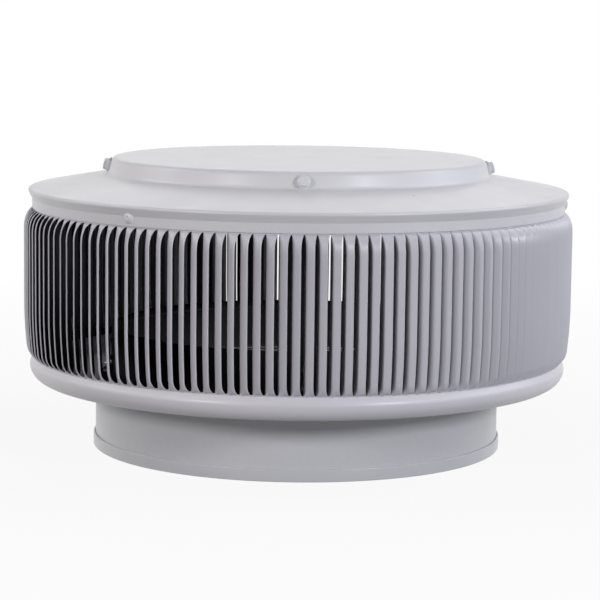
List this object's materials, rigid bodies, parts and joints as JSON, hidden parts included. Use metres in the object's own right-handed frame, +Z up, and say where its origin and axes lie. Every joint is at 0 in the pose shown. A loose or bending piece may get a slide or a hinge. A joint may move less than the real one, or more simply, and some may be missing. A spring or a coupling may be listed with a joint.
{
  "type": "roof vent",
  "caption": "Low round static roof vent cap: flat-topped spun cap over a hoop of lanced vertical louvres, shallow pan, inner throat and a short collar that slips over a pipe.",
  "frame": {"origin": "centre of the bottom face, in the plane of the collar's foot", "axes": "+Z up along the axis of the vent, from the collar to the crown; -Y is the side that faces the camera in the picture"},
  "size_m": [0.4421, 0.4422, 0.2326],
  "materials": {
    "cap_paint": "gloss white paint on spun aluminium",
    "louvre_paint": "gloss white paint on lanced aluminium",
    "pan_paint": "gloss white paint on spun aluminium",
    "throat_paint": "white paint, inner pieces",
    "collar_paint": "gloss white paint on rolled aluminium",
    "fastener_paint": "white paint over screw and rivet heads",
    "seal_rubber": "washer rubber under the paint",
    "gasket_rubber": "dull dark rubber",
    "rivet_metal": "plain aluminium"
  },
  "bodies": {
    "root": {"top_cap": "cap_paint", "louver_ring": "louvre_paint", "bottom_pan": "pan_paint", "throat": "throat_paint", "strap_front": "throat_paint", "strap_right": "throat_paint", "strap_back": "throat_paint", "strap_left": "throat_paint", "adapter_collar": "collar_paint", "foot_ring": "collar_paint", "ring_joint_plate_upper": "throat_paint", "ring_joint_plate_lower": "throat_paint", "crown_screws": "fastener_paint", "skirt_rivets": "fastener_paint", "crown_screw_seals": "seal_rubber", "flange_gasket": "gasket_rubber", "strap_rivets": "rivet_metal", "flange_rivets": "rivet_metal", "collar_seam_rivets": "rivet_metal"}
  },
  "joints": []
}
